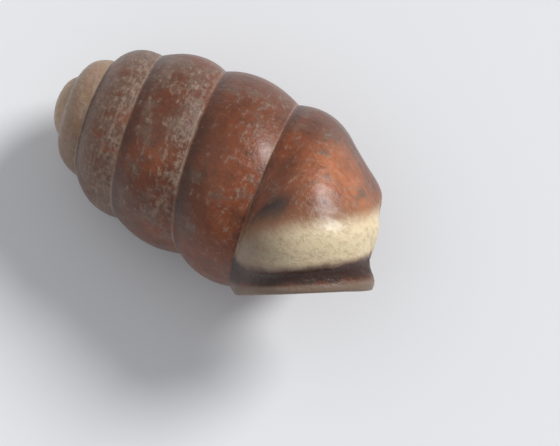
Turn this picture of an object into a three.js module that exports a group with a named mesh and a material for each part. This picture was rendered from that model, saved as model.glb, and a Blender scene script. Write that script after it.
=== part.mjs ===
// Land snail shell, millimetres, +Z up. It lies on its side: the spire points along -X, the mouth is at +X.
import * as THREE from 'three';

// Line where each whorl meets the one before, one entry every half turn from the tip:
// distance from the axis and distance from the tip along the axis.
const sutureRadius = [0, 0.106, 0.216, 0.356, 0.466, 0.594, 0.691, 0.77, 0.805, 0.805, 0.81, 0.867, 0.722, 0.757];
const sutureHeight = [0, 0.035, 0.103, 0.198, 0.332, 0.488, 0.695, 0.964, 1.267, 1.617, 1.989, 2.332, 2.728, 3.08];
// How far each whorl swells past a straight line between its sutures, as a share of that line, every turn
// from one turn before the tip.
const whorlSwell = [0.08, 0.12, 0.2, 0.17, 0.13, 0.115, 0.14, 0.14];

const lastTurn = 5.5;         // where the mouth is
const sutureRise = 0.17;      // the last suture climbs back toward the tip by this much
const sutureRiseStart = 5.2;
const tubeHeight = 1.45;      // height of a whorl's tube as a multiple of the step between sutures
const umbilicusRadius = 0.06;
const umbilicusHeight = 2.38; // distance from the tip of the bottom of the pit in the base
const columellaDrop = 0.27;   // inner whorls: pillar end above the lowest point of the tube
const baseFullness = { at: 5.06, width: 0.17, height: 0.16 }; // the base bulges round this turn

// Mouth: an outline on a plane tilted to the axis. Across, down and set back from the plane, in millimetres.
const mouthTilt = THREE.MathUtils.degToRad(26.7);
const mouthTurn = 0.015;      // it is turned round the axis by this share of a turn
const mouthTop = { radius: 0.91, height: 2.18 };
const mouthOutline = [
  [0.08, 0, 0], [0.33, 0.08, 0], [0.58, 0.25, 0], [0.74, 0.53, 0], [0.72, 0.86, 0], [0.52, 1.15, 0],
  [0.24, 1.26, 0], [-0.04, 1.15, 0], [-0.18, 0.88, 0.03], [-0.16, 0.56, 0.12],
];
const mouthBlendStart = 4.95; // the whorl starts turning toward the mouth outline here

// Relief behind the lip: distance behind the mouth plane, half width and height.
const callus = { at: 0.43, width: 0.19, height: 0.06 };
const groove = { at: 0.1, width: 0.065, height: -0.045 };
const flare = { at: 0, width: 0.03, height: 0.03 };
// It bends away from the lip on both sides of the front of the mouth: by how much, around which column
// and over how many columns. It starts at the suture and fades out toward the hidden side.
const reliefBend = { back: 0.15, column: 7.5, columns: 7.2 };
const reliefEdge = { suture: 3, fadeStart: 13.5, fadeEnd: 16.5 };
const wall = 0.065;
const parietalCallus = 0.03;

// Mesh steps.
const stepsPerTurn = 48;
const sutureColumns = 8;
const baseColumns = 14;
const columns = sutureColumns + baseColumns;
const crowding = 0.5;
const seamColumns = 8;
const seamRows = 12;          // rows that run onto the seam between the last whorl and the one before
const firstStep = 5;          // the tip is closed this many steps from its pole
const cavityTurns = 2.5;
// Columns of the wall that the cavity follows, at the mouth and deeper in.
const cavityStart = [0.7, 2.2];
const cavityEnd = [21.4, 20];
const parietalStart = [8.6, 10];
const cavityNarrows = 8;      // rows over which it changes from one to the other

// How it lies: the side it lies on, in turns round the axis, and how far the tip dips.
const lieTurn = 0.72617;
const lieDip = THREE.MathUtils.degToRad(7.3567);

const spin = 2 * Math.PI;
const clamp01 = (x) => Math.min(1, Math.max(0, x));
const ease = (x) => clamp01(x) ** 2 * (3 - 2 * clamp01(x));
const bump = (x, shape) => shape.height * Math.exp(-(((x - shape.at) / shape.width) ** 2));

// Value of a list at a fractional index, on a smooth curve through its entries.
function along(list, index) {
  const last = list.length - 1;
  const first = Math.min(last - 1, Math.max(0, Math.floor(index)));
  const t = index - first;
  const before = first > 0 ? list[first - 1] : 2 * list[0] - list[1];
  const after = first + 2 <= last ? list[first + 2] : 2 * list[last] - list[last - 1];
  const slope0 = (list[first + 1] - before) / 2;
  const slope1 = (after - list[first]) / 2;
  return (2 * t ** 3 - 3 * t ** 2 + 1) * list[first] + (t ** 3 - 2 * t ** 2 + t) * slope0
    + (3 * t ** 2 - 2 * t ** 3) * list[first + 1] + (t ** 3 - t ** 2) * slope1;
}

// Points are { turn, r, h }: turns round the axis, distance from the axis, distance from the tip.
const toSpace = (p) => new THREE.Vector3(p.r * Math.cos(spin * p.turn), p.r * Math.sin(spin * p.turn), p.h);

function suture(turn) {
  const t = Math.max(0, turn);
  const rise = sutureRise * ease((t - sutureRiseStart) / 0.4);
  return { turn, r: Math.max(0, along(sutureRadius, 2 * t)), h: along(sutureHeight, 2 * t) - rise };
}

const whorlStep = (turn) => along(sutureHeight, 2 * turn + 2) - along(sutureHeight, 2 * Math.max(0, turn));

// Profile of a whorl at one place round the axis. Column 0 is its suture, sutureColumns the next suture,
// and the last column the end of its base at the umbilicus.
function profile(turn, column) {
  const a = suture(turn);
  const b = suture(turn + 1);
  const chord = { r: b.r - a.r, h: b.h - a.h };
  const swell = along(whorlSwell, turn + 1);
  if (column <= sutureColumns) {
    const v = column / sutureColumns;
    const lift = swell * 4 * v * (1 - v);
    return { turn, r: a.r + chord.r * v + chord.h * lift, h: a.h + chord.h * v - chord.r * lift };
  }
  const leave = new THREE.Vector2(chord.r - 4 * swell * chord.h, chord.h + 4 * swell * chord.r).normalize();
  const depth = tubeHeight * whorlStep(turn);
  const low = a.h + depth;
  const pit = turn >= lastTurn - 1 ? umbilicusHeight : low - columellaDrop;
  const reach = 0.5 * depth - 0.1;
  const base = new THREE.CubicBezierCurve(
    new THREE.Vector2(b.r, b.h),
    new THREE.Vector2(b.r + leave.x * reach, b.h + leave.y * reach),
    new THREE.Vector2(umbilicusRadius + 0.3, low + 0.38 * depth + bump(turn, baseFullness)),
    new THREE.Vector2(umbilicusRadius, pit),
  );
  const p = base.getPoint((column - sutureColumns) / baseColumns);
  return { turn, r: p.x, h: p.y };
}

function mouthPoint(column) {
  const index = (column / columns) * (mouthOutline.length - 1);
  const [across, down, back] = [0, 1, 2].map((k) => along(mouthOutline.map((p) => p[k]), index));
  const x = -mouthTop.radius + down * Math.sin(mouthTilt) + back * Math.cos(mouthTilt);
  const h = mouthTop.height + down * Math.cos(mouthTilt) - back * Math.sin(mouthTilt);
  const turn = lastTurn - 0.5 + mouthTurn + ((Math.atan2(across, x) / spin + 1) % 1);
  return { turn, r: Math.hypot(x, across), h };
}

const axis = new THREE.Vector3(0, 0, 1);
const turned = (v) => v.applyAxisAngle(axis, spin * mouthTurn);
const mouthNormal = turned(new THREE.Vector3(-Math.cos(mouthTilt), 0, Math.sin(mouthTilt)));
const mouthOrigin = turned(new THREE.Vector3(-mouthTop.radius, 0, mouthTop.height));

// The last turn leans forward toward the umbilicus, so that its pit closes on itself.
function leaning(turn, column) {
  const w = clamp01((column - sutureColumns) / baseColumns);
  const gap = lastTurn - turnOf(seamStart);
  const p = profile(turn, column);
  const round = turn - lastTurn + 1;
  p.turn += w ** 1.5 * (0.1 * ease(1 + round / 0.3) + gap * ease(round / (1 - gap)));
  return p;
}

// It grows out of the plain profile into the mouth outline.
function lastTurnPoint(turn, column) {
  const w = clamp01((column - sutureColumns) / baseColumns);
  const start = mouthBlendStart + 0.3 * w * w;
  const near = ease((turn - start) / (lastTurn - start));
  const p = leaning(turn, column);
  const there = leaning(lastTurn, column);
  const mouth = mouthPoint(column);
  return {
    turn: p.turn + (mouth.turn - there.turn) * near,
    r: p.r + (mouth.r - there.r) * near,
    h: p.h + (mouth.h - there.h) * near,
  };
}

const lastRow = Math.round(lastTurn * stepsPerTurn);
const baseRow = lastRow - stepsPerTurn;
const seamStart = lastRow - seamRows;
// Rows stand closer together on the side of the mouth.
const turnOf = (row) => row / stepsPerTurn + (crowding * Math.sin((spin * row) / stepsPerTurn)) / spin;
const seamColumn = columns - seamColumns;
const seamSpot = (row) => columns - ((row - seamStart) * seamColumns) / seamRows;

// Where a row of the last turn ends: round the pit in the base, then up the seam, which runs from the pit
// along the base of the whorl before.
function rowEnd(row) {
  if (row <= seamStart) return leaning(turnOf(row), columns);
  const p = lastTurnPoint(turnOf(baseRow), seamSpot(row));
  return { turn: p.turn + 1, r: p.r, h: p.h };
}

// Wall of the shell without the relief behind the lip.
function bareWall(row, column) {
  const turn = turnOf(row);
  if (row < baseRow) return leaning(turn, column);
  const p = lastTurnPoint(turn, column);
  const free = lastTurnPoint(turn, columns);
  const end = rowEnd(row);
  const pull = (column / columns) ** 4;
  return {
    turn: p.turn + (end.turn - free.turn) * pull,
    r: p.r + (end.r - free.r) * pull,
    h: p.h + (end.h - free.h) * pull,
  };
}

const wallAt = (row, column) => toSpace(bareWall(row, column));

// Direction out of the wall.
function outward(row, column) {
  const past = row < baseRow ? baseRow - 0.01 : lastRow;
  const along = wallAt(Math.min(row + 1, past), column).sub(wallAt(row - 1, column));
  const across = wallAt(row, Math.min(columns, column + 0.7)).sub(wallAt(row, Math.max(0, column - 0.7)));
  return along.cross(across).normalize();
}

const behindMouth = (point) => mouthOrigin.clone().sub(point).dot(mouthNormal);

const farFade = (column) => clamp01((reliefEdge.fadeEnd - column) / (reliefEdge.fadeEnd - reliefEdge.fadeStart));

// Distance behind the lip with the bend taken off it.
function behindLip(point, column) {
  const back = behindMouth(point);
  const side = Math.min(farFade(column), ((column - reliefBend.column) / reliefBend.columns) ** 2);
  const bend = reliefBend.back * side;
  return back - bend * Math.min(1, back / (groove.at + bend));
}

// Where the relief stands: not at the suture, on the hidden side or far from the mouth.
function reliefHold(row, column) {
  return Math.min(column / reliefEdge.suture, farFade(column)) * ease((turnOf(row) - 5) / 0.25);
}

function wallPoint(row, column) {
  const point = wallAt(row, column);
  if (row < baseRow) return point;
  const back = behindLip(point, column);
  const hold = reliefHold(row, column);
  const height = bump(back, callus) + bump(back, groove) + bump(back, flare);
  return point.addScaledVector(outward(row, column), hold * height);
}

const positions = [];
const triangles = [];
const index = new Map();

function vertex(key, point) {
  if (!index.has(key)) {
    index.set(key, positions.length / 3);
    positions.push(...point.toArray());
  }
  return index.get(key);
}

// One vertex for each place, shared where two whorls meet along a suture, the pit or the seam.
function skin(row, column) {
  if (column === 0 && row < firstStep) return vertex('pole', new THREE.Vector3());
  if (column === sutureColumns && row < baseRow + 0.5 && row + stepsPerTurn <= lastRow) {
    return skin(row + stepsPerTurn, 0);
  }
  if (column === columns && row >= seamStart) return skin(baseRow, Math.round(seamSpot(row)));
  return vertex(`${row},${column}`, column === 0 ? toSpace(suture(turnOf(row))) : wallPoint(row, column));
}

function triangle(a, b, c) {
  if (a !== b && b !== c && c !== a) triangles.push(a, c, b);
}

function quad(a, b, c, d) {
  triangle(a, b, c);
  triangle(a, c, d);
}

for (let row = firstStep - stepsPerTurn; row < lastRow; row += 1) {
  const end = row < baseRow ? sutureColumns : columns;
  for (let column = 0; column < end; column += 1) {
    if (row === firstStep - 1 && column === 0) {
      triangle(skin(row, 1), skin(firstStep, 1), skin(firstStep, 0));
    } else {
      quad(skin(row, column), skin(row, column + 1), skin(row + 1, column + 1), skin(row + 1, column));
    }
  }
}
// Tip: the first row of all meets the row one turn on.
for (let column = 0; column < sutureColumns; column += 1) {
  const row = firstStep - stepsPerTurn;
  triangle(skin(firstStep - 1, 1), skin(row, column + 1), skin(row, column));
}
// Pit.
const pit = vertex('pit', new THREE.Vector3(0, 0, umbilicusHeight));
for (let row = baseRow; row < seamStart; row += 1) triangle(pit, skin(row + 1, columns), skin(row, columns));

// Rings of the cavity, each from the suture round the inside of the wall and back along the whorl before.
const ringSize = columns + seamColumn - sutureColumns;

function cavityTrack(row, k) {
  const deep = ease((lastRow - row) / cavityNarrows);
  const [start, end, parietal] = [cavityStart, cavityEnd, parietalStart].map(([a, b]) => a + (b - a) * deep);
  if (k <= columns) return wallAt(row, start + ((end - start) * k) / columns);
  const share = (k - columns) / (seamColumn - sutureColumns);
  return wallAt(row - stepsPerTurn, seamColumn + (parietal - seamColumn) * share);
}

function cavityPoint(row, k) {
  const centre = new THREE.Vector3();
  for (let i = 0; i < ringSize; i += 1) centre.addScaledVector(cavityTrack(row, i), 1 / ringSize);
  const point = cavityTrack(row, k);
  const sunk = Math.min(bump(behindMouth(point), groove), bump(behindLip(point, k), groove));
  const thinned = row < baseRow || k > columns ? 0 : sunk;
  const by = k > columns ? parietalCallus : wall - thinned;
  return point.addScaledVector(centre.sub(point).normalize(), by);
}

// Row of the wall or of the seam that the rim of the mouth starts from.
const rimStart = (k) => (k <= columns ? skin(lastRow, k) : skin(baseRow, seamColumn - (k - columns)));

function rimPoint(k) {
  const inner = cavityPoint(lastRow, k);
  const outer = new THREE.Vector3().fromArray(positions, 3 * rimStart(k));
  const middle = inner.lerp(outer, 0.5);
  return k <= columns ? middle.addScaledVector(mouthNormal, 0.35 * wall) : middle;
}

const rings = [(k) => rimStart(k), (k) => vertex(`rim ${k}`, rimPoint(k))];
const cavityRows = [lastRow, lastRow - 4, lastRow - 8, lastRow - 12];
for (let row = lastRow - 14; row >= lastRow - cavityTurns * stepsPerTurn; row -= 2) cavityRows.push(row);
for (const row of cavityRows) rings.push((k) => vertex(`cavity ${row} ${k}`, cavityPoint(row, k)));
for (let ring = 0; ring + 1 < rings.length; ring += 1) {
  for (let k = 0; k < ringSize; k += 1) {
    const next = (k + 1) % ringSize;
    quad(rings[ring](k), rings[ring](next), rings[ring + 1](next), rings[ring + 1](k));
  }
}
const deepest = cavityRows.at(-1);
const endCentre = new THREE.Vector3();
for (let k = 0; k < ringSize; k += 1) endCentre.addScaledVector(cavityPoint(deepest, k), 1 / ringSize);
const end = vertex('cavity end', endCentre);
for (let k = 0; k < ringSize; k += 1) triangle(rings.at(-1)(k), rings.at(-1)((k + 1) % ringSize), end);

const geometry = new THREE.BufferGeometry();
geometry.setAttribute('position', new THREE.Float32BufferAttribute(positions, 3));
geometry.setIndex(triangles);

// Laid on its side, centred over the origin.
const down = toSpace({ turn: lieTurn, r: Math.cos(lieDip), h: -Math.sin(lieDip) });
const up = down.negate();
const ahead = new THREE.Vector3(0, 0, 1).addScaledVector(up, -up.z).normalize();
geometry.applyMatrix4(new THREE.Matrix4().makeBasis(ahead, up.clone().cross(ahead), up).transpose());
geometry.computeBoundingBox();
const box = geometry.boundingBox;
geometry.translate(-(box.min.x + box.max.x) / 2, -(box.min.y + box.max.y) / 2, -box.min.z);

const mesh = new THREE.Mesh(geometry, new THREE.MeshStandardMaterial({ color: 0x7a4a35, roughness: 0.35 }));
mesh.name = 'shell';
const group = new THREE.Group();
group.add(mesh);
export default group;
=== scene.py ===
import bpy
import numpy as np
from mathutils import Matrix, Vector


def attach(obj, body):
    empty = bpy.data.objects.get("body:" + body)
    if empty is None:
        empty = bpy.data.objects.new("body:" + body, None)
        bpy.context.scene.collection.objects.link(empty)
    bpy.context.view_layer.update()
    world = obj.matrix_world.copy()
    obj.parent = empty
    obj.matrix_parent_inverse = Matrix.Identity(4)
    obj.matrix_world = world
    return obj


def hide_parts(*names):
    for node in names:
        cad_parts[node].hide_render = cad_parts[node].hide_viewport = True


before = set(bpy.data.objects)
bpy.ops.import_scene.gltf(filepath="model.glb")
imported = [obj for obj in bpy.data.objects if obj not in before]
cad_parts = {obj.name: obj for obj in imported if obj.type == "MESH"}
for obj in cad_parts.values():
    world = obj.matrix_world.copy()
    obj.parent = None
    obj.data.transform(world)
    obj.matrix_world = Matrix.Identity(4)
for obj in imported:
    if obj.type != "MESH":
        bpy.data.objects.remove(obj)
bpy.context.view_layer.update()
print("frame loaded")

# The form is in millimetres in the shell's own axes: turns round the axis, distance from the axis, and
# distance from the tip along the axis. Lists run from the tip, those of the suture by half turns and
# the swell of the whorls by whole turns.
form = {
    "sutureRadius": [
        0, 0.106, 0.216, 0.356, 0.466, 0.594, 0.691,
        0.77, 0.805, 0.805, 0.81, 0.867, 0.722, 0.757,
    ],
    "sutureHeight": [
        0, 0.035, 0.103, 0.198, 0.332, 0.488, 0.695,
        0.964, 1.267, 1.617, 1.989, 2.332, 2.728, 3.08,
    ],
    "whorlSwell": [0.08, 0.12, 0.2, 0.17, 0.13, 0.115, 0.14, 0.14],
    "lastTurn": 5.5,          # where the mouth is
    "sutureRise": 0.17,       # the last suture climbs back toward the tip by this much
    "sutureRiseStart": 5.2,
    "sutureRiseTurns": 0.4,
    "tubeHeight": 1.45,       # height of a whorl's tube as a multiple of the step between sutures
    "umbilicusRadius": 0.06,
    "umbilicusHeight": 2.38,
    "columellaDrop": 0.27,
    "baseReach": (0.5, 0.1),  # the base leaves the suture over this share of the tube's height, less this
    "baseCrest": (0.3, 0.38),  # its lowest part: out from the umbilicus, and below as a share of that height
    "baseFullness": (5.06, 0.17, 0.16),  # the base bulges: middle turn, half width, height
    "earlyLean": (0.1, 0.3),  # the base starts to lean forward: how far and over how many turns
    "wall": 0.065,
    "parietalCallus": 0.03,
    "cavityTurns": 2.5,
}
mouth = {
    "tilt": np.radians(26.7),
    "turn": 0.015,
    "topRadius": 0.91,
    "topHeight": 2.18,
    "across": [0.08, 0.33, 0.58, 0.74, 0.72, 0.52, 0.24, -0.04, -0.18, -0.16],
    "down": [0, 0.08, 0.25, 0.53, 0.86, 1.15, 1.26, 1.15, 0.88, 0.56],
    "back": [0, 0, 0, 0, 0, 0, 0, 0, 0.03, 0.12],
    "blendStart": 4.95,
    "blendDelay": 0.3,        # the base starts to blend this much later
}
# Bands behind the lip: distance behind the mouth, half width, height. They bend away from the lip on both
# sides of the front, start at the suture and fade out toward the hidden side.
relief = {"callus": (0.43, 0.19, 0.06), "groove": (0.1, 0.065, -0.045), "flare": (0, 0.03, 0.03)}
reliefBend = {"back": 0.15, "column": 7.5, "columns": 7.2}
reliefEdge = {"suture": 3, "fadeStart": 13.5, "fadeEnd": 16.5, "startTurn": 5, "turns": 0.25}
# The lip stands forward by a share of the wall, less toward both ends of the free wall.
lipForward = {"free": 0.4, "parietal": 0.1, "ends": 1.5}
# Growth lines and unevenness of the outside, in millimetres. They fade at the suture, the pit, the lip
# and the tip.
growth = {
    "lineHeight": 0.0009,
    "linesPerTurn": 26,
    "secondLines": (0.6, 1.63),  # height and number as multiples of the first
    "waveHeight": 0.0035,
    "wavesPerTurn": 3,
    "drift": (0.05, 0.3),     # change of phase with each column, of the lines and the waves
    "sway": ((2.1, 9.3), (3.3, 5.1), (1.7, 3.7)),  # size and pace, of both lines and the waves
    "sutureColumns": 1.5,
    "pitColumns": 4,
    "lipDistance": 0.05,
    "tipTurns": (0.7, 1.5),
}
# The wall is measured in steps: 8 from one suture to the next, 22 on to the umbilicus, 48 rows in a turn.
steps = {"suture": 8, "all": 22, "perTurn": 48, "seam": 8, "seamRows": 12, "crowding": 0.5}
mesh = {"rowsPerStep": 4, "sutureSplit": 5, "baseSplit": 6, "tipRows": 4, "lipRings": 5, "probe": 0.7}
# Columns of the wall that the cavity follows, at the mouth and deeper in, and the rows of its mesh.
cavity = {"start": (0.7, 2.2), "end": (21.4, 20), "parietal": (8.6, 10), "narrows": 8}
cavityMesh = {"lipStep": 2, "lipRows": 14}
# How it lies: the side it lies on, how far the tip dips and where the tip is.
lie = {"turn": 0.72617, "dip": np.radians(7.3567), "tip": (-1.63672, 0.03239, 0.68812)}


def unitStep(x):
    # 0 below 0, 1 above 1, and 3x^2 - 2x^3 between
    x = np.clip(x, 0, 1)
    return x * x * (3 - 2 * x)


def bell(x, shape):
    # height times e to the minus ((x - middle) / half width) squared
    middle, width, height = shape
    return height * np.exp(-(((x - middle) / width) ** 2))


def alongList(values, index):
    # cubic through the entries, its slope at each the mean of the slopes on both sides
    values = np.asarray(values, float)
    first = np.clip(np.floor(index), 0, len(values) - 2).astype(int)
    t = index - first
    row = np.concatenate([[2 * values[0] - values[1]], values, [2 * values[-1] - values[-2]]])
    before, here, there, after = row[first], row[first + 1], row[first + 2], row[first + 3]
    slopeHere, slopeThere = (there - before) / 2, (after - here) / 2
    return ((2 * t**3 - 3 * t**2 + 1) * here + (t**3 - 2 * t**2 + t) * slopeHere
            + (3 * t**2 - 2 * t**3) * there + (t**3 - t**2) * slopeThere)


def turnOfRow(row):
    # row / 48 + crowding * sin(2 pi row / 48) / (2 pi): rows crowd on the side of the mouth
    share = row / steps["perTurn"]
    return share + steps["crowding"] * np.sin(2 * np.pi * share) / (2 * np.pi)


def baseShare(column):
    # 0 at the suture, 1 at the umbilicus
    return np.clip((column - steps["suture"]) / (steps["all"] - steps["suture"]), 0, 1)


lastRow = round(form["lastTurn"] * steps["perTurn"])
baseRow = lastRow - steps["perTurn"]
seamStart = lastRow - steps["seamRows"]


def seamSpot(row):
    # the seam climbs the base of the whorl before, 8 columns in 12 rows
    return steps["all"] - (row - seamStart) * steps["seam"] / steps["seamRows"]


def sutureLine(turn):
    # radius from its list; height from its list, less the rise times the unit step of the way into it
    t = np.maximum(0, turn)
    rise = form["sutureRise"] * unitStep((t - form["sutureRiseStart"]) / form["sutureRiseTurns"])
    radius = np.maximum(0, alongList(form["sutureRadius"], 2 * t))
    return radius, alongList(form["sutureHeight"], 2 * t) - rise


def whorlSection(turn, column):
    # from suture to suture: the chord plus 4 v (1 - v) swell along its normal
    # on to the umbilicus: a cubic Bezier curve that leaves the chord's curve without a corner
    radius, height = sutureLine(turn)
    nextRadius, nextHeight = sutureLine(turn + 1)
    chordRadius, chordHeight = nextRadius - radius, nextHeight - height
    swell = alongList(form["whorlSwell"], turn + 1)
    v = np.minimum(column / steps["suture"], 1)
    lift = swell * 4 * v * (1 - v)
    sideRadius = radius + chordRadius * v + chordHeight * lift
    sideHeight = height + chordHeight * v - chordRadius * lift

    heights = form["sutureHeight"]
    depth = alongList(heights, 2 * turn + 2) - alongList(heights, 2 * np.maximum(0, turn))
    depth = depth * form["tubeHeight"]
    low = height + depth
    pit = np.where(turn >= form["lastTurn"] - 1, form["umbilicusHeight"], low - form["columellaDrop"])
    leaveRadius = chordRadius - 4 * swell * chordHeight
    leaveHeight = chordHeight + 4 * swell * chordRadius
    reachShare, reachLess = form["baseReach"]
    reach = (reachShare * depth - reachLess) / np.hypot(leaveRadius, leaveHeight)
    crestOut, crestDown = form["baseCrest"]
    crestHeight = low + crestDown * depth + bell(turn, form["baseFullness"])
    w = baseShare(column)
    curve = (
        ((1 - w) ** 3, nextRadius, nextHeight),
        (3 * w * (1 - w) ** 2, nextRadius + leaveRadius * reach, nextHeight + leaveHeight * reach),
        (3 * w**2 * (1 - w), form["umbilicusRadius"] + crestOut, crestHeight),
        (w**3, form["umbilicusRadius"], pit),
    )
    baseRadius = sum(share * pull for share, pull, _ in curve)
    baseHeight = sum(share * pull for share, _, pull in curve)
    onBase = column > steps["suture"]
    return np.where(onBase, baseRadius, sideRadius), np.where(onBase, baseHeight, sideHeight)


def leaningSection(turn, column):
    # turn + base share ^ 1.5 * lean: the last turn leans forward, so that its pit closes on itself
    gap = form["lastTurn"] - turnOfRow(seamStart)
    radius, height = whorlSection(turn, column)
    intoLast = turn - form["lastTurn"] + 1
    early, earlyTurns = form["earlyLean"]
    lean = early * unitStep(1 + intoLast / earlyTurns) + gap * unitStep(intoLast / (1 - gap))
    return np.array([turn + baseShare(column) ** 1.5 * lean, radius, height])


def mouthSection(column):
    # the outline of the mouth: across, down and back from a plane tilted to the axis
    index = column / steps["all"] * (len(mouth["across"]) - 1)
    across, down, back = (alongList(mouth[name], index) for name in ("across", "down", "back"))
    x = -mouth["topRadius"] + down * np.sin(mouth["tilt"]) + back * np.cos(mouth["tilt"])
    height = mouth["topHeight"] + down * np.cos(mouth["tilt"]) - back * np.sin(mouth["tilt"])
    turn = form["lastTurn"] - 0.5 + mouth["turn"] + (np.arctan2(across, x) / (2 * np.pi)) % 1
    return np.array([turn, np.hypot(x, across), height])


def lastTurnSection(turn, column):
    # the leaning section moved toward the mouth by 3n^2 - 2n^3, n = share of the way from its start
    start = mouth["blendStart"] + mouth["blendDelay"] * baseShare(column) ** 2
    near = unitStep((turn - start) / (form["lastTurn"] - start))
    there = leaningSection(form["lastTurn"] + 0 * turn, column)
    return leaningSection(turn, column) + (mouthSection(column) - there) * near


def wallPlace(row, column):
    # the last turn's far edge is pulled onto the pit and then the seam by (column / 22)^4
    row, column = np.broadcast_arrays(np.asarray(row, float), np.asarray(column, float))
    turn = turnOfRow(row)
    early = leaningSection(turn, column)
    free = lastTurnSection(turn, 0 * column + steps["all"])
    pitEdge = leaningSection(turn, 0 * column + steps["all"])
    onSeam = lastTurnSection(turnOfRow(baseRow) + 0 * turn, seamSpot(np.maximum(row, seamStart)))
    onSeam[0] += 1
    end = np.where(row <= seamStart, pitEdge, onSeam)
    late = lastTurnSection(turn, column) + (end - free) * (column / steps["all"]) ** 4
    return np.where(row < baseRow, early, late)


def toSpace(spot):
    # radius times cosine and sine of the turn's angle, and the height
    turn, radius, height = spot
    angle = 2 * np.pi * turn
    return np.stack([radius * np.cos(angle), radius * np.sin(angle), height], -1)


def wallAt(row, column):
    # x, y and z of the outside, without the bands behind the lip and the growth lines
    return toSpace(wallPlace(row, column))


def turnedAboutAxis(vector):
    # turned about the axis by the mouth's own turn
    angle = 2 * np.pi * mouth["turn"]
    x, y, z = vector
    return np.array([x * np.cos(angle) - y * np.sin(angle), x * np.sin(angle) + y * np.cos(angle), z])


mouthNormal = turnedAboutAxis([-np.cos(mouth["tilt"]), 0, np.sin(mouth["tilt"])])
mouthOrigin = turnedAboutAxis([-mouth["topRadius"], 0, mouth["topHeight"]])


def behindMouth(point):
    # distance from the mouth's plane
    return (mouthOrigin - point) @ mouthNormal


def farFade(column):
    # 1 at the front, falling in a straight line to 0 toward the hidden side
    start, end = reliefEdge["fadeStart"], reliefEdge["fadeEnd"]
    return np.clip((end - column) / (end - start), 0, 1)


def behindLip(point, column):
    # distance behind the mouth less the bend, which grows with the square of the way from the front
    back = behindMouth(point)
    side = np.minimum(farFade(column), ((column - reliefBend["column"]) / reliefBend["columns"]) ** 2)
    bend = reliefBend["back"] * side
    return back - bend * np.minimum(1, back / (relief["groove"][0] + bend))


def reliefHold(row, column):
    # how much of the bands there is: the lesser of both fades times the unit step of the turns
    start = unitStep((turnOfRow(row) - reliefEdge["startTurn"]) / reliefEdge["turns"])
    return np.minimum(column / reliefEdge["suture"], farFade(column)) * start


def outward(row, column):
    # cross product of the differences along the growth and across the whorl
    justBefore, probe = 0.01, mesh["probe"]
    past = np.where(row < baseRow, baseRow - justBefore, lastRow)
    along = wallAt(np.minimum(row + 1, past), column) - wallAt(row - 1, column)
    onward = wallAt(row, np.minimum(steps["all"], column + probe))
    across = onward - wallAt(row, np.maximum(0, column - probe))
    normal = np.cross(along, across)
    return normal / np.maximum(np.linalg.norm(normal, axis=-1, keepdims=True), 1e-12)


def growthLines(turn, column):
    # sum of sines of the turn whose phase sways with it and drifts across the whorl, fading out at the
    # suture and the tip
    lineDrift, waveDrift = (amount * column for amount in growth["drift"])
    (sway, pace), (secondSway, secondPace), (waveSway, wavePace) = growth["sway"]
    height, number = growth["secondLines"]
    angle = 2 * np.pi * growth["linesPerTurn"] * turn
    lines = np.sin(angle + sway * np.sin(pace * turn + lineDrift) + lineDrift)
    lines += height * np.sin(number * angle + secondSway * np.sin(secondPace * turn) - lineDrift)
    wave = 2 * np.pi * growth["wavesPerTurn"] * turn + waveSway * np.sin(wavePace * turn + waveDrift)
    start, length = growth["tipTurns"]
    fade = unitStep(column / growth["sutureColumns"]) * unitStep((turn + start) / length)
    return fade * (growth["lineHeight"] * lines + growth["waveHeight"] * np.sin(wave))


def wallSurface(row, column):
    # wall + outward * (bands behind the lip + growth lines)
    row, column = np.broadcast_arrays(np.asarray(row, float), np.asarray(column, float))
    point = wallAt(row, column)
    back = behindLip(point, column)
    bands = sum(bell(back, shape) for shape in relief.values()) * reliefHold(row, column)
    bands = bands * (row >= baseRow)
    toSuture = (steps["suture"] - column) / growth["sutureColumns"]
    toPit = (steps["all"] - column) / growth["pitColumns"]
    fade = np.clip(np.where(row < baseRow, toSuture, toPit), 0, 1)
    fade = fade * unitStep(behindMouth(point) / growth["lipDistance"])
    lines = growthLines(turnOfRow(row), column) * fade
    return point + outward(row, column) * (bands + lines)[..., None]


print("form ready")

# Rows and columns of the fine mesh, in the wall's own steps.
turnRows = steps["perTurn"] * mesh["rowsPerStep"]
baseSteps = steps["all"] - steps["suture"]
rowNumbers = np.arange(mesh["tipRows"] - turnRows, lastRow * mesh["rowsPerStep"] + 1)
rowAt = rowNumbers / mesh["rowsPerStep"]
columnAt = np.concatenate([
    np.linspace(0, steps["suture"], steps["suture"] * mesh["sutureSplit"] + 1),
    np.linspace(steps["suture"], steps["all"], baseSteps * mesh["baseSplit"] + 1)[1:],
])
tipIndex = turnRows
baseIndex = len(rowAt) - 1 - turnRows
seamIndex = len(rowAt) - 1 - steps["seamRows"] * mesh["rowsPerStep"]
sutureIndex = steps["suture"] * mesh["sutureSplit"]
seamTop = len(columnAt) - 1 - steps["seam"] * mesh["baseSplit"]

wallPoints = wallSurface(rowAt[:, None], columnAt[None, :])
sutureTurn = turnOfRow(rowAt)
wallPoints[:, 0] = toSpace(np.array([sutureTurn, *sutureLine(sutureTurn)]))
wallPoints[:tipIndex, 0] = 0
rows, cols = wallPoints.shape[:2]

# Which point each grid place uses: whorls share their suture, the last turn its pit edge and seam.
place = np.arange(rows * cols).reshape(rows, cols)
place[:tipIndex, 0] = place[0, 0]
place[:baseIndex + 1, sutureIndex] = place[turnRows:turnRows + baseIndex + 1, 0]
seamShare = np.linspace(0, 1, rows - seamIndex)
seamCols = np.round(cols - 1 - seamShare * (cols - 1 - seamTop)).astype(int)
place[seamIndex:, cols - 1] = place[baseIndex, seamCols]


def quadCorners(index):
    # two triangles for each cell of a grid of indices, facing the way the wall's rows and columns give
    a, b, c, d = index[:-1, :-1], index[:-1, 1:], index[1:, 1:], index[1:, :-1]
    return np.concatenate([
        np.stack([a, c, b], -1).reshape(-1, 3),
        np.stack([a, d, c], -1).reshape(-1, 3),
    ])


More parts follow.
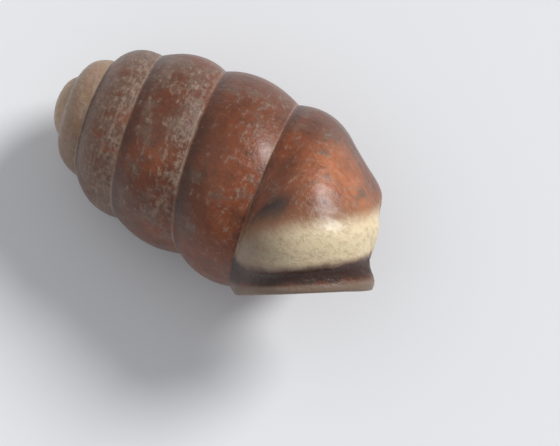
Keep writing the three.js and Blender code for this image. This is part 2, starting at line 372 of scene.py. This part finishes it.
grid = np.arange(rows * cols).reshape(rows, cols)
corners = [quadCorners(grid[:, :sutureIndex + 1]), quadCorners(grid[baseIndex:, sutureIndex:])]
# Tip: the first row of all meets the row one turn on.
tipPole = np.full(sutureIndex, grid[tipIndex - 1, 1])
corners.append(np.stack([tipPole, grid[0, :sutureIndex], grid[0, 1:sutureIndex + 1]], -1))
print("outside", rows, "by", cols)


def cavityTrack(row, k):
    # along the wall from start to end, then along the whorl before, one turn back, up to parietal. Each of
    # the three goes from its column at the mouth to the one deeper in, by the smooth step from 0 to 1.
    deep = unitStep((lastRow - row) / cavity["narrows"])
    ends = (cavity["start"], cavity["end"], cavity["parietal"])
    start, end, parietal = (atMouth + (within - atMouth) * deep for atMouth, within in ends)
    top = steps["all"] - steps["seam"]
    share = (k - steps["all"]) / (top - steps["suture"])
    wallSide = wallAt(row, np.minimum(start + (end - start) * k / steps["all"], end))
    parietalSide = wallAt(row - steps["perTurn"], top + (parietal - top) * np.maximum(share, 0))
    return np.where((k <= steps["all"])[..., None], wallSide, parietalSide)


def cavitySurface(row, k):
    # the track moved toward the middle of its ring by the thickness of the wall
    track = cavityTrack(row, k)
    inward = track.mean(1, keepdims=True) - track
    inward /= np.linalg.norm(inward, axis=-1, keepdims=True)
    onParietal = k > steps["all"]
    straight = bell(behindMouth(track), relief["groove"])
    sunk = np.minimum(straight, bell(behindLip(track, k), relief["groove"]))
    thinned = np.where(onParietal | (row < baseRow), 0, sunk)
    thickness = np.where(onParietal, form["parietalCallus"], form["wall"] - thinned)
    return track + inward * thickness[..., None]


parietalSteps = baseSteps - steps["seam"]
parietalAt = np.linspace(0, parietalSteps, seamTop - sutureIndex + 1)[1:-1]
ringK = np.concatenate([columnAt, steps["all"] + parietalAt])
ringSize = len(ringK)
onWall = ringK <= steps["all"]
deepRow = lastRow - form["cavityTurns"] * steps["perTurn"]
evenRow = lastRow - cavityMesh["lipRows"]
cavityRows = np.concatenate([
    [lastRow],
    np.arange(lastRow - cavityMesh["lipStep"], evenRow, -cavityMesh["lipStep"]),
    np.arange(evenRow, deepRow - 1, -1),
]).astype(float)
cavityPoints = cavitySurface(cavityRows[:, None], np.broadcast_to(ringK, (len(cavityRows), ringSize)))
cavityEnd = cavityPoints[-1].mean(0)
pitBottom = np.array([0, 0, form["umbilicusHeight"]])

# Lip: half a round from the outside to the inside, standing forward of the mouth where the wall is free.
rimPlaces = np.concatenate([place[-1, :], place[baseIndex, seamTop - 1:sutureIndex:-1]])
rimOuter = wallPoints.reshape(-1, 3)[rimPlaces]
angle = np.linspace(0, np.pi, mesh["lipRings"] + 2)[1:-1, None, None]
fromEnds = np.minimum(ringK, np.abs(steps["all"] - ringK)) / lipForward["ends"]
forward = form["wall"] * np.where(onWall, lipForward["free"], lipForward["parietal"])
forward = (forward * np.minimum(1, fromEnds))[None, :, None]
inwardPart = (cavityPoints[0] - rimOuter) * (1 - np.cos(angle)) / 2
lipPoints = rimOuter + inwardPart + mouthNormal * forward * np.sin(angle)

innerPoints = np.concatenate([lipPoints, cavityPoints])
innerRows = len(innerPoints)
innerStart = rows * cols
rimStart = innerStart + innerRows * ringSize
endPoint = rimStart + ringSize
pitPoint = endPoint + 1
rimRing = np.arange(rimStart, endPoint)[None, :]
inner = np.concatenate([rimRing, np.arange(innerStart, rimStart).reshape(innerRows, ringSize)])
corners.append(quadCorners(np.concatenate([inner, inner[:, :1]], 1)))
corners.append(np.stack([inner[-1], np.full(ringSize, endPoint), np.roll(inner[-1], -1)], -1))
pitRows = np.arange(baseIndex, seamIndex)
corners.append(np.stack([np.full(len(pitRows), pitPoint), grid[pitRows, -1], grid[pitRows + 1, -1]], -1))
corners = np.concatenate(corners)
points = np.concatenate([
    wallPoints.reshape(-1, 3),
    innerPoints.reshape(-1, 3),
    rimOuter,
    [cavityEnd, pitBottom],
])
sameAs = np.concatenate([place.ravel(), np.arange(innerStart, rimStart), rimPlaces, [endPoint, pitPoint]])
print("mouth and inside", innerRows, "by", ringSize)

# What the material reads, beside each point. Growth: turn, and 0 to 2 from the suture to the umbilicus.
# Lip: millimetres behind it, or farBehind before the turn bandsStart, and 0 outside to 1 inside.
bandsStart = 4.9
farBehind = 3
acrossAt = np.where(columnAt <= steps["suture"], columnAt / steps["suture"], 1 + baseShare(columnAt))
turnGrid = np.broadcast_to(sutureTurn[:, None], (rows, cols))
acrossGrid = np.broadcast_to(acrossAt[None, :], (rows, cols))
wallBack = np.where(turnGrid > bandsStart, behindLip(wallPoints, columnAt[None, :]), farBehind)
innerTurn = np.concatenate([np.full(mesh["lipRings"], form["lastTurn"]), turnOfRow(cavityRows)])
ringAcross = ringK / steps["suture"]
growthMap = np.concatenate([
    np.stack([turnGrid.ravel(), acrossGrid.ravel()], -1),
    np.stack([np.repeat(innerTurn, ringSize), np.tile(ringAcross, innerRows)], -1),
    np.stack([np.full(ringSize, form["lastTurn"]), ringAcross], -1),
    [[form["lastTurn"] - form["cavityTurns"], 1], [form["lastTurn"] - 1, 2]],
])
lipShares = np.linspace(0, 1, mesh["lipRings"] + 1)[1:]
insideRow = np.concatenate([lipShares, np.ones(len(cavityRows))])
lipMap = np.concatenate([
    np.stack([wallBack.ravel(), np.zeros(rows * cols)], -1),
    np.stack([behindMouth(innerPoints).ravel(), np.repeat(insideRow, ringSize)], -1),
    np.stack([behindMouth(rimOuter), np.zeros(ringSize)], -1),
    [[behindMouth(cavityEnd), 1], [farBehind, 0]],
])

triangles = sameAs[corners]
hasArea = (triangles != np.roll(triangles, 1, 1)).all(1)
corners = corners[hasArea]
used, triangles = np.unique(triangles[hasArea], return_inverse=True)
triangles = triangles.reshape(-1, 3)

# Laid on its side: the shell's place along its axes ahead, across and up.
up = -toSpace(np.array([lie["turn"], np.cos(lie["dip"]), -np.sin(lie["dip"])]))
ahead = np.array([0, 0, 1]) - up * up[2]
ahead /= np.linalg.norm(ahead)
laidAxes = np.array([ahead, np.cross(up, ahead), up])
laid = points[used] @ laidAxes.T + np.array(lie["tip"])
laid[:, 2] = np.maximum(laid[:, 2], 0)

shellMesh = bpy.data.meshes.new("snailShell")
shellMesh.from_pydata((laid / 1000).tolist(), [], triangles.tolist())
for name, values in (("growth", growthMap), ("lip", lipMap)):
    layer = shellMesh.uv_layers.new(name=name)
    layer.data.foreach_set("uv", values[corners].astype(np.float32).ravel())
shellMesh.polygons.foreach_set("use_smooth", np.ones(len(triangles), bool))
shellMesh.update()
shell = bpy.data.objects.new("snailShell", shellMesh)
bpy.context.scene.collection.objects.link(shell)
print("shell", len(triangles), "triangles")


def nodeMaker(material):
    # gives back a function that adds a node, with values and links for its inputs
    material.use_nodes = True
    tree = material.node_tree
    tree.nodes.clear()

    def add(kind, inputs=None, **settings):
        node = tree.nodes.new(kind)
        for key, value in settings.items():
            setattr(node, key, value)
        for key, value in (inputs or {}).items():
            if isinstance(value, bpy.types.NodeSocket):
                tree.links.new(value, node.inputs[key])
            else:
                node.inputs[key].default_value = value
        return node

    return add


shellLook = {
    "brown": (0.115, 0.031, 0.01, 1),
    # Amber: a tone of the clouds, and also a painted glow of light through the thin wall.
    "amberAndPaintedGlow": (0.25, 0.055, 0.01, 1),
    # Dark: real blotches and streaks, and also painted shade and shadow.
    "dark": (0.03, 0.014, 0.01, 1),
    "tip": (0.46, 0.31, 0.19, 1),
    "mauve": (0.14, 0.078, 0.05, 1),
    # Painted highlight on the last whorl.
    "paintedHighlight": (0.47, 0.15, 0.055, 1),
    # Pale: frosty specks, and also painted highlights along the sutures.
    "paleFrostAndHighlight": (0.33, 0.235, 0.175, 1),
    "cream": (0.76, 0.63, 0.41, 1),
    "rust": (0.3, 0.13, 0.05, 1),
    "lip": (0.2, 0.14, 0.1, 1),
    "inside": (0.36, 0.24, 0.17, 1),
    "roughness": 0.32,
    "wornRoughness": 0.25,
    "grainRoughness": 0.2,
    "ior": 1.45,
    "coat": 0.2,
    "coatRoughness": 0.22,
    "subsurface": 0.1,
    "subsurfaceRadius": (1.0, 0.3, 0.12),
    "subsurfaceScale": 0.00006,
    "bumpStrength": 0.6,
    "bumpDistance": 0.000018,
    "bumpHeights": (0.5, 0.7, 0.3),  # of the growth lines, the fine grain and the worn specks
}
# Noises: how fine, in steps to a millimetre, then detail and roughness. The growth lines and the grains
# follow the whorls instead, with so many steps to a turn and across a whorl.
shellNoises = {
    "broad": (1.7, 3, 0.55),
    "middling": (5.5, 4, 0.55),
    "blotches": (12, 4, 0.6),
    "fine": (22, 3, 0.6),
    "lines": (1, 3, 0.6),
    "grains": (1, 3, 0.65),
}
shellStretch = {"lines": (60, 5, 1), "grains": (42, 16, 1)}
# Where the markings lie. Spots have a middle and a half width, spans and patches of noise a start and an
# end with the values there, and rims rise over the first two numbers and fall over the last two. Across a
# whorl 0 is its suture, 1 the next and 2 the umbilicus. The lip's rims are in millimetres behind it.
shellMarks = {
    # Amber clouds, and a painted glow of light through the thin wall on the penultimate and last whorls.
    "amberAndPaintedGlow": {"clouds": (0.42, 0.7, 0.0, 0.6), "turns": (4.3, 0.34), "across": (0.15, 0.75),
             "patches": (0.25, 0.6), "amount": 0.85},
    "paintedLateGlow": {"turns": (5.19, 0.15), "across": (0.4, 0.05)},
    # Painted highlight on the last whorl.
    "paintedHighlight": {"turns": (5.22, 0.17), "across": (1.1, 0.75), "patches": (0.2, 0.6, 0.45, 1.0)},
    "mauve": {"turns": (1.6, 4.4, 0.2, -0.05), "patches": (0.46, 0.7, 0.0, 0.85)},
    "blotches": {"patches": (0.5, 0.8, 0.0, 0.5)},
    "lines": {"patches": (0.5, 0.75, 0.0, 0.3)},
    # Painted shade below each suture.
    "paintedSutureShade": {"across": (0.01, 0.05, 0.07, 0.24), "amount": 0.5},
    # Painted highlight as a thin pale thread along each suture.
    "paintedSutureHighlight": {"after": (0.004, 0.024, 1.0, 0.0), "before": (0.965, 0.99, 0.99, 1.0),
               "turns": (4.0, 5.1, 1.0, 0.0), "patches": (0.3, 0.6, 0.35, 1.0), "amount": 0.55},
    # Painted shadow beside the last suture, with fewer specks in it.
    "paintedShadow": {"turns": (5.39, 0.09), "across": (0.45, 0.5), "slant": 0.06,
              "dark": (0.0, 0.6, 0.0, 0.92), "clean": (0.0, 0.6, 1.0, 0.3)},
    "tip": {"turns": (0.5, 1.9, 0.85, 0.0)},
    "specks": {"turns": (1.0, 5.2, 0.05, -0.03), "across": (0.35, 0.95, 0.0, 0.05), "fineShare": 0.5,
               "specks": (0.5, 0.7), "patches": (0.42, 0.6, 0.25, 1.0), "amount": 0.6},
    # Across: the cream band greys toward the suture as painted shade.
    "cream": {"rims": (0.15, 0.25, 0.46, 0.66), "across": (1.3, 0.5, 0.0, 0.8),
              "patches": (0.4, 0.75, 0.0, 0.3)},
    "rust": {"rims": (0.4, 0.55, 0.6, 0.8), "amount": 0.5},
    # Painted shade in the groove behind the lip.
    "line": {"rims": (0.03, 0.07, 0.12, 0.21), "amount": 0.85},
    "lip": {"wobble": 0.09, "taper": (0.1, 0.95, -0.2, 0.0), "edge": (0.02, 0.05, 0.9, 0.0),
            "inside": (0.3, 1.0)},
}


def makeShellMaterial(look, marks):
    material = bpy.data.materials.new("snailShell")
    add = nodeMaker(material)
    growthUv = add("ShaderNodeUVMap", uv_map="growth").outputs[0]
    lipUv = add("ShaderNodeUVMap", uv_map="lip").outputs[0]
    turn, across = add("ShaderNodeSeparateXYZ", {0: growthUv}).outputs[:2]
    back, inside = add("ShaderNodeSeparateXYZ", {0: lipUv}).outputs[:2]
    objectPlace = add("ShaderNodeTexCoord").outputs["Object"]
    millimetres = add("ShaderNodeMapping", {0: objectPlace, 3: (1000, 1000, 1000)}).outputs[0]

    def noise(name, vector=millimetres):
        scale, detail, rough = shellNoises[name]
        values = {"Vector": vector, "Scale": scale, "Detail": detail, "Roughness": rough}
        return add("ShaderNodeTexNoise", values).outputs[0]

    def streaks(name):
        return noise(name, add("ShaderNodeMapping", {0: growthUv, 3: shellStretch[name]}).outputs[0])

    def ramp(value, low, high, out0=0.0, out1=1.0):
        # from out0 at low to out1 at high by 3x^2 - 2x^3
        values = {0: value, 1: low, 2: high, 3: out0, 4: out1}
        return add("ShaderNodeMapRange", values, interpolation_type="SMOOTHSTEP").outputs[0]

    def calc(kind, a, b=0.0):
        return add("ShaderNodeMath", {0: a, 1: b}, operation=kind).outputs[0]

    def times(*values):
        total = values[0]
        for value in values[1:]:
            total = calc("MULTIPLY", total, value)
        return total

    def plus(*values):
        total = values[0]
        for value in values[1:]:
            total = calc("ADD", total, value)
        return total

    def mix(factor, a, b):
        return add("ShaderNodeMix", {0: factor, 6: a, 7: b}, data_type="RGBA").outputs[2]

    def near(value, middle, width):
        # 1 at the middle, 0 a width away on both sides
        return ramp(calc("ABSOLUTE", plus(value, -middle)), 0.0, width, 1.0, 0.0)

    def rims(rising, falling, start, full, fullEnd, end):
        # 0 to 1 from start to full, and back to 0 from fullEnd to end
        return times(ramp(rising, start, full), ramp(falling, fullEnd, end, 1.0, 0.0))

    lines, grains = streaks("lines"), streaks("grains")
    broad, middling, fine = noise("broad"), noise("middling"), noise("fine")

    def bodyColor():
        # Red-brown and amber clouds, mauve-grey ones toward the tip, and on the last whorls a painted orange
        # glow of light through the thin wall and a painted highlight.
        color = mix(ramp(broad, *marks["amberAndPaintedGlow"]["clouds"]), look["brown"], look["amberAndPaintedGlow"])
        amberAndPaintedGlow = times(near(turn, *marks["amberAndPaintedGlow"]["turns"]), ramp(across, *marks["amberAndPaintedGlow"]["across"]))
        late = times(near(turn, *marks["paintedLateGlow"]["turns"]), ramp(across, *marks["paintedLateGlow"]["across"]))
        amberAndPaintedGlow = times(plus(amberAndPaintedGlow, late), ramp(middling, *marks["amberAndPaintedGlow"]["patches"]))
        color = mix(times(amberAndPaintedGlow, marks["amberAndPaintedGlow"]["amount"]), color, look["amberAndPaintedGlow"])
        paintedHighlight = times(near(turn, *marks["paintedHighlight"]["turns"]), near(across, *marks["paintedHighlight"]["across"]))
        color = mix(times(paintedHighlight, ramp(middling, *marks["paintedHighlight"]["patches"])), color, look["paintedHighlight"])
        mauve = plus(middling, ramp(turn, *marks["mauve"]["turns"]))
        color = mix(ramp(mauve, *marks["mauve"]["patches"]), color, look["mauve"])
        color = mix(ramp(noise("blotches"), *marks["blotches"]["patches"]), color, look["dark"])
        return mix(ramp(lines, *marks["lines"]["patches"]), color, look["dark"])

    def withSutures(color):
        # Painted shade below each suture, and here and there a painted highlight on it as a thin pale thread.
        paintedSutureShade = rims(across, across, *marks["paintedSutureShade"]["across"])
        color = mix(times(paintedSutureShade, marks["paintedSutureShade"]["amount"]), color, look["dark"])
        before = rims(across, across, *marks["paintedSutureHighlight"]["before"])
        paintedSutureHighlight = plus(ramp(across, *marks["paintedSutureHighlight"]["after"]), before)
        fading = ramp(turn, *marks["paintedSutureHighlight"]["turns"])
        paintedSutureHighlight = times(paintedSutureHighlight, fading, ramp(middling, *marks["paintedSutureHighlight"]["patches"]))
        return mix(times(paintedSutureHighlight, marks["paintedSutureHighlight"]["amount"]), color, look["paleFrostAndHighlight"])

    def paintedShadowAmount():
        # Painted shadow: a dark patch between the last suture and the cream band.
        slanted = plus(turn, times(across, marks["paintedShadow"]["slant"]))
        return times(near(slanted, *marks["paintedShadow"]["turns"]), near(across, *marks["paintedShadow"]["across"]))

    def speckAmount(paintedShadow):
        # Frosty worn specks, more of them toward the tip and before each suture.
        more = plus(ramp(turn, *marks["specks"]["turns"]), ramp(across, *marks["specks"]["across"]))
        share = marks["specks"]["fineShare"]
        grainy = plus(times(fine, share), times(grains, 1 - share), more)
        patches = ramp(plus(middling, more), *marks["specks"]["patches"])
        # Fewer specks inside the painted shadow.
        return times(ramp(grainy, *marks["specks"]["specks"]), patches, ramp(paintedShadow, *marks["paintedShadow"]["clean"]))

    def withLipBands(color):
        # Cream band with a rusty edge, greying toward the suture as painted shade, painted shade as a dark
        # line in the groove, and the lip's own edge.
        edge = plus(back, times(plus(middling, -0.5), marks["lip"]["wobble"]))
        upper = calc("SUBTRACT", edge, ramp(across, *marks["lip"]["taper"]))
        rust = rims(upper, upper, *marks["rust"]["rims"])
        color = mix(times(rust, marks["rust"]["amount"]), color, look["rust"])
        cream = mix(ramp(fine, *marks["cream"]["patches"]), look["cream"], look["rust"])
        # The band greys toward the suture: painted shade where it turns from the light.
        cream = mix(ramp(across, *marks["cream"]["across"]), cream, look["mauve"])
        color = mix(rims(edge, upper, *marks["cream"]["rims"]), color, cream)
        # Painted shade: a dark line in the groove.
        line = rims(edge, edge, *marks["line"]["rims"])
        color = mix(times(line, marks["line"]["amount"]), color, look["dark"])
        return mix(ramp(back, *marks["lip"]["edge"]), color, look["lip"])

    paintedShadow = paintedShadowAmount()
    frosty = speckAmount(paintedShadow)
    color = withSutures(bodyColor())
    # Painted shadow beside the last suture.
    color = mix(ramp(paintedShadow, *marks["paintedShadow"]["dark"]), color, look["dark"])
    color = mix(ramp(turn, *marks["tip"]["turns"]), color, look["tip"])
    color = mix(times(frosty, marks["specks"]["amount"]), color, look["paleFrostAndHighlight"])
    color = withLipBands(color)
    color = mix(ramp(inside, *marks["lip"]["inside"]), color, look["inside"])

    worn, grainy = times(frosty, look["wornRoughness"]), times(fine, look["grainRoughness"])
    height = plus(*(times(part, look["bumpHeights"][k]) for k, part in enumerate((lines, fine, frosty))))
    bump = add("ShaderNodeBump", {
        "Strength": look["bumpStrength"], "Distance": look["bumpDistance"], "Height": height,
    }).outputs[0]
    shader = add("ShaderNodeBsdfPrincipled", {
        "Base Color": color, "Roughness": plus(worn, grainy, look["roughness"]), "Normal": bump,
        "IOR": look["ior"], "Coat Weight": look["coat"], "Coat Roughness": look["coatRoughness"],
        "Subsurface Weight": look["subsurface"], "Subsurface Radius": look["subsurfaceRadius"],
        "Subsurface Scale": look["subsurfaceScale"],
    }).outputs[0]
    add("ShaderNodeOutputMaterial", {0: shader})
    return material


shellMesh.materials.append(makeShellMaterial(shellLook, shellMarks))
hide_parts("shell")
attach(shell, "root")
print("shell finished")

floorSettings = {"size": 0.4, "color": (0.76, 0.77, 0.78, 1), "roughness": 0.6}


def makeFloor(settings):
    half = settings["size"] / 2
    ring = [(-half, -half, 0), (half, -half, 0), (half, half, 0), (-half, half, 0)]
    floorMesh = bpy.data.meshes.new("floor")
    floorMesh.from_pydata(ring, [], [(0, 1, 2, 3)])
    material = bpy.data.materials.new("floor")
    add = nodeMaker(material)
    values = {"Base Color": settings["color"], "Roughness": settings["roughness"]}
    shader = add("ShaderNodeBsdfPrincipled", values).outputs[0]
    add("ShaderNodeOutputMaterial", {0: shader})
    floorMesh.materials.append(material)
    plane = bpy.data.objects.new("floor", floorMesh)
    bpy.context.scene.collection.objects.link(plane)
    return plane


floor = makeFloor(floorSettings)
print("floor ready")

# How the photograph shows the shell: its axis slopes down to the right and comes toward the camera. The
# tip is this far left of, above and behind the middle of the view, in millimetres.
cameraSettings = {
    "slope": np.radians(25.5),
    "toward": np.radians(11),
    "tip": (-1.943, 1.1436, -0.2862),
    "distance": 54.8,
    "lens": 400,
    "sensor": 36,
    "clip": (0.001, 10),
}


def cameraAxes(slope, toward):
    # the shell's own axes as the camera sees them, then the camera's right, up and back in the scene
    alongAxis = [np.cos(slope) * np.cos(toward), -np.sin(slope) * np.cos(toward), np.sin(toward)]
    atStart = [np.sin(slope), np.cos(slope), 0]
    shellSeen = np.array([atStart, np.cross(alongAxis, atStart), alongAxis])
    return [Vector(axis) for axis in (laidAxes @ shellSeen).T]


axes = cameraAxes(cameraSettings["slope"], cameraSettings["toward"])


def asSeen(amounts):
    # sum of amount times axis, for the camera's right, up and back
    return sum((axis * amount for axis, amount in zip(axes, amounts)), Vector())


target = Vector(lie["tip"]) - asSeen(cameraSettings["tip"])
standpoint = (target + axes[2] * cameraSettings["distance"]) / 1000
camera = bpy.data.objects.new("camera", bpy.data.cameras.new("camera"))
camera.data.lens = cameraSettings["lens"]
camera.data.sensor_width = cameraSettings["sensor"]
camera.data.clip_start, camera.data.clip_end = cameraSettings["clip"]
camera.matrix_world = Matrix.Translation(standpoint) @ Matrix(axes).transposed().to_4x4()
bpy.context.scene.collection.objects.link(camera)
bpy.context.scene.camera = camera

# Suns: where each stands as the camera sees it (right, up, back), strength and spread in degrees.
suns = {"key": ((0.8, 0.62, 0.75), 2.6, 22), "fill": ((-0.5, 0.3, 1.0), 0.35, 60)}
sky = {"color": (0.93, 0.95, 1, 1), "strength": 0.4}
for name, (toward, strength, spread) in suns.items():
    light = bpy.data.lights.new(name, "SUN")
    light.energy = strength
    light.angle = np.radians(spread)
    lamp = bpy.data.objects.new(name, light)
    lamp.rotation_euler = asSeen(toward).to_track_quat("Z", "Y").to_euler()
    bpy.context.scene.collection.objects.link(lamp)
world = bpy.data.worlds.new("studio")
bpy.context.scene.world = world
world.use_nodes = True
background = world.node_tree.nodes["Background"]
background.inputs["Color"].default_value = sky["color"]
background.inputs["Strength"].default_value = sky["strength"]
bpy.context.scene.view_settings.view_transform = "Standard"
print("camera and light ready")
